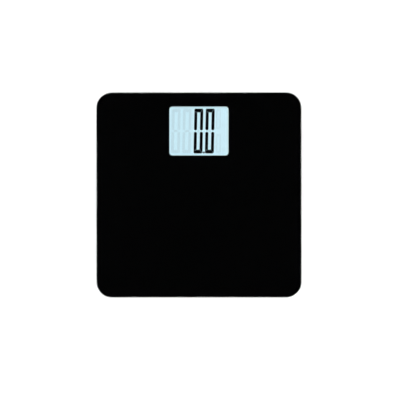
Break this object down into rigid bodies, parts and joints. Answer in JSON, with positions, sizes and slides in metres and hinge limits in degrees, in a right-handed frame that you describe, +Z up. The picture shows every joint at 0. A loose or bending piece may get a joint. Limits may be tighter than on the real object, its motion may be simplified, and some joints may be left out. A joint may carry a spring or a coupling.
{
  "type": "digital bathroom scale",
  "caption": "Square glass-topped digital bathroom scale with rounded corners, a large backlit numeric display window and load-cell feet.",
  "frame": {"origin": "on the floor under the middle of the platform, at the level of the foot pads' undersides", "axes": "+Z up through the glass platform, +Y towards the edge nearest the display, +X to the right of a person who stands on the scale and reads the display"},
  "size_m": [0.3, 0.3, 0.025],
  "materials": {
    "clear_glass": "polished tempered glass",
    "black_enamel": "glossy fired print",
    "foam_tape": "matte foam",
    "black_abs": "fine textured",
    "dark_abs": "satin",
    "grey_button": "satin",
    "pad_rubber": "matte",
    "zinc_steel": "zinc plated",
    "nickel_plate": "nickel plated",
    "solder": "reflowed",
    "switch_steel": "stamped",
    "polarizer_film": "clear film",
    "lit_film": "lit film",
    "display_glass": "polished",
    "white_film": "white film",
    "clear_acrylic": "polished",
    "led_package": "resin",
    "striped_silicone": "matte",
    "board_laminate": "solder mask",
    "black_epoxy": "epoxy",
    "component_body": "moulded",
    "cell_jacket": "printed jacket",
    "red_wire": "vinyl",
    "white_wire": "vinyl",
    "black_wire": "vinyl",
    "white_silicone": "matte"
  },
  "bodies": {
    "platform": {"glass_platform": "clear_glass", "back_print": "black_enamel", "foot_tapes": "foam_tape", "pod_tape": "foam_tape", "lcd_gasket": "foam_tape", "pod_frame": "black_abs", "pod_cover": "black_abs", "wire_cover_left": "black_abs", "wire_cover_right": "black_abs", "lcd_front_polarizer": "polarizer_film", "lcd_rear_polarizer": "lit_film", "lcd_front_glass": "display_glass", "lcd_rear_glass": "display_glass", "backlight_diffuser": "white_film", "backlight_reflector": "white_film", "backlight_guide": "clear_acrylic", "backlight_led_strip": "board_laminate", "backlight_leds": "led_package", "zebra_connector": "striped_silicone", "circuit_board": "board_laminate", "controller_chip": "black_epoxy", "board_components": "component_body", "solder_joints": "solder", "tact_switch": "switch_steel", "battery_1": "cell_jacket", "battery_2": "cell_jacket", "battery_3": "cell_jacket", "battery_contact_positive": "nickel_plate", "battery_contact_negative": "nickel_plate", "battery_link_left": "nickel_plate", "battery_link_right": "nickel_plate", "battery_springs": "nickel_plate", "pod_screws": "zinc_steel", "board_screws": "zinc_steel", "sensor_wires_red": "red_wire", "sensor_wires_white": "white_wire", "sensor_wires_black": "black_wire", "battery_wire_red": "red_wire", "battery_wire_black": "black_wire", "strain_gauge_seals": "white_silicone", "foot_housing_front_left": "black_abs", "load_cell_front_left": "zinc_steel", "foot_housing_front_right": "black_abs", "load_cell_front_right": "zinc_steel", "foot_housing_rear_left": "black_abs", "load_cell_rear_left": "zinc_steel", "foot_housing_rear_right": "black_abs", "load_cell_rear_right": "zinc_steel"},
    "foot_front_left": {"foot_cup_front_left": "dark_abs", "foot_pad_front_left": "pad_rubber"},
    "foot_front_right": {"foot_cup_front_right": "dark_abs", "foot_pad_front_right": "pad_rubber"},
    "foot_rear_left": {"foot_cup_rear_left": "dark_abs", "foot_pad_rear_left": "pad_rubber"},
    "foot_rear_right": {"foot_cup_rear_right": "dark_abs", "foot_pad_rear_right": "pad_rubber"},
    "battery_door": {"battery_door": "black_abs"},
    "unit_button": {"unit_button": "grey_button", "switch_stem": "grey_button"}
  },
  "joints": [
    {"name": "foot_front_left_play", "type": "slide", "parent": "platform", "child": "foot_front_left", "axis": [0, 0, -1], "range_m": [0, 0.0008]},
    {"name": "foot_front_right_play", "type": "slide", "parent": "platform", "child": "foot_front_right", "axis": [0, 0, -1], "range_m": [0, 0.0008]},
    {"name": "foot_rear_left_play", "type": "slide", "parent": "platform", "child": "foot_rear_left", "axis": [0, 0, -1], "range_m": [0, 0.0008]},
    {"name": "foot_rear_right_play", "type": "slide", "parent": "platform", "child": "foot_rear_right", "axis": [0, 0, -1], "range_m": [0, 0.0008]},
    {"name": "battery_door_hinge", "type": "hinge", "parent": "platform", "child": "battery_door", "pos_m": [0, 0.0104, 0.0054], "axis": [-1, 0, 0], "range_deg": [0, 95]},
    {"name": "unit_button_press", "type": "slide", "parent": "platform", "child": "unit_button", "axis": [0, 0, 1], "range_m": [0, 0.0005], "stiffness_N_per_m": 1500, "springref_m": -0.0005}
  ]
}
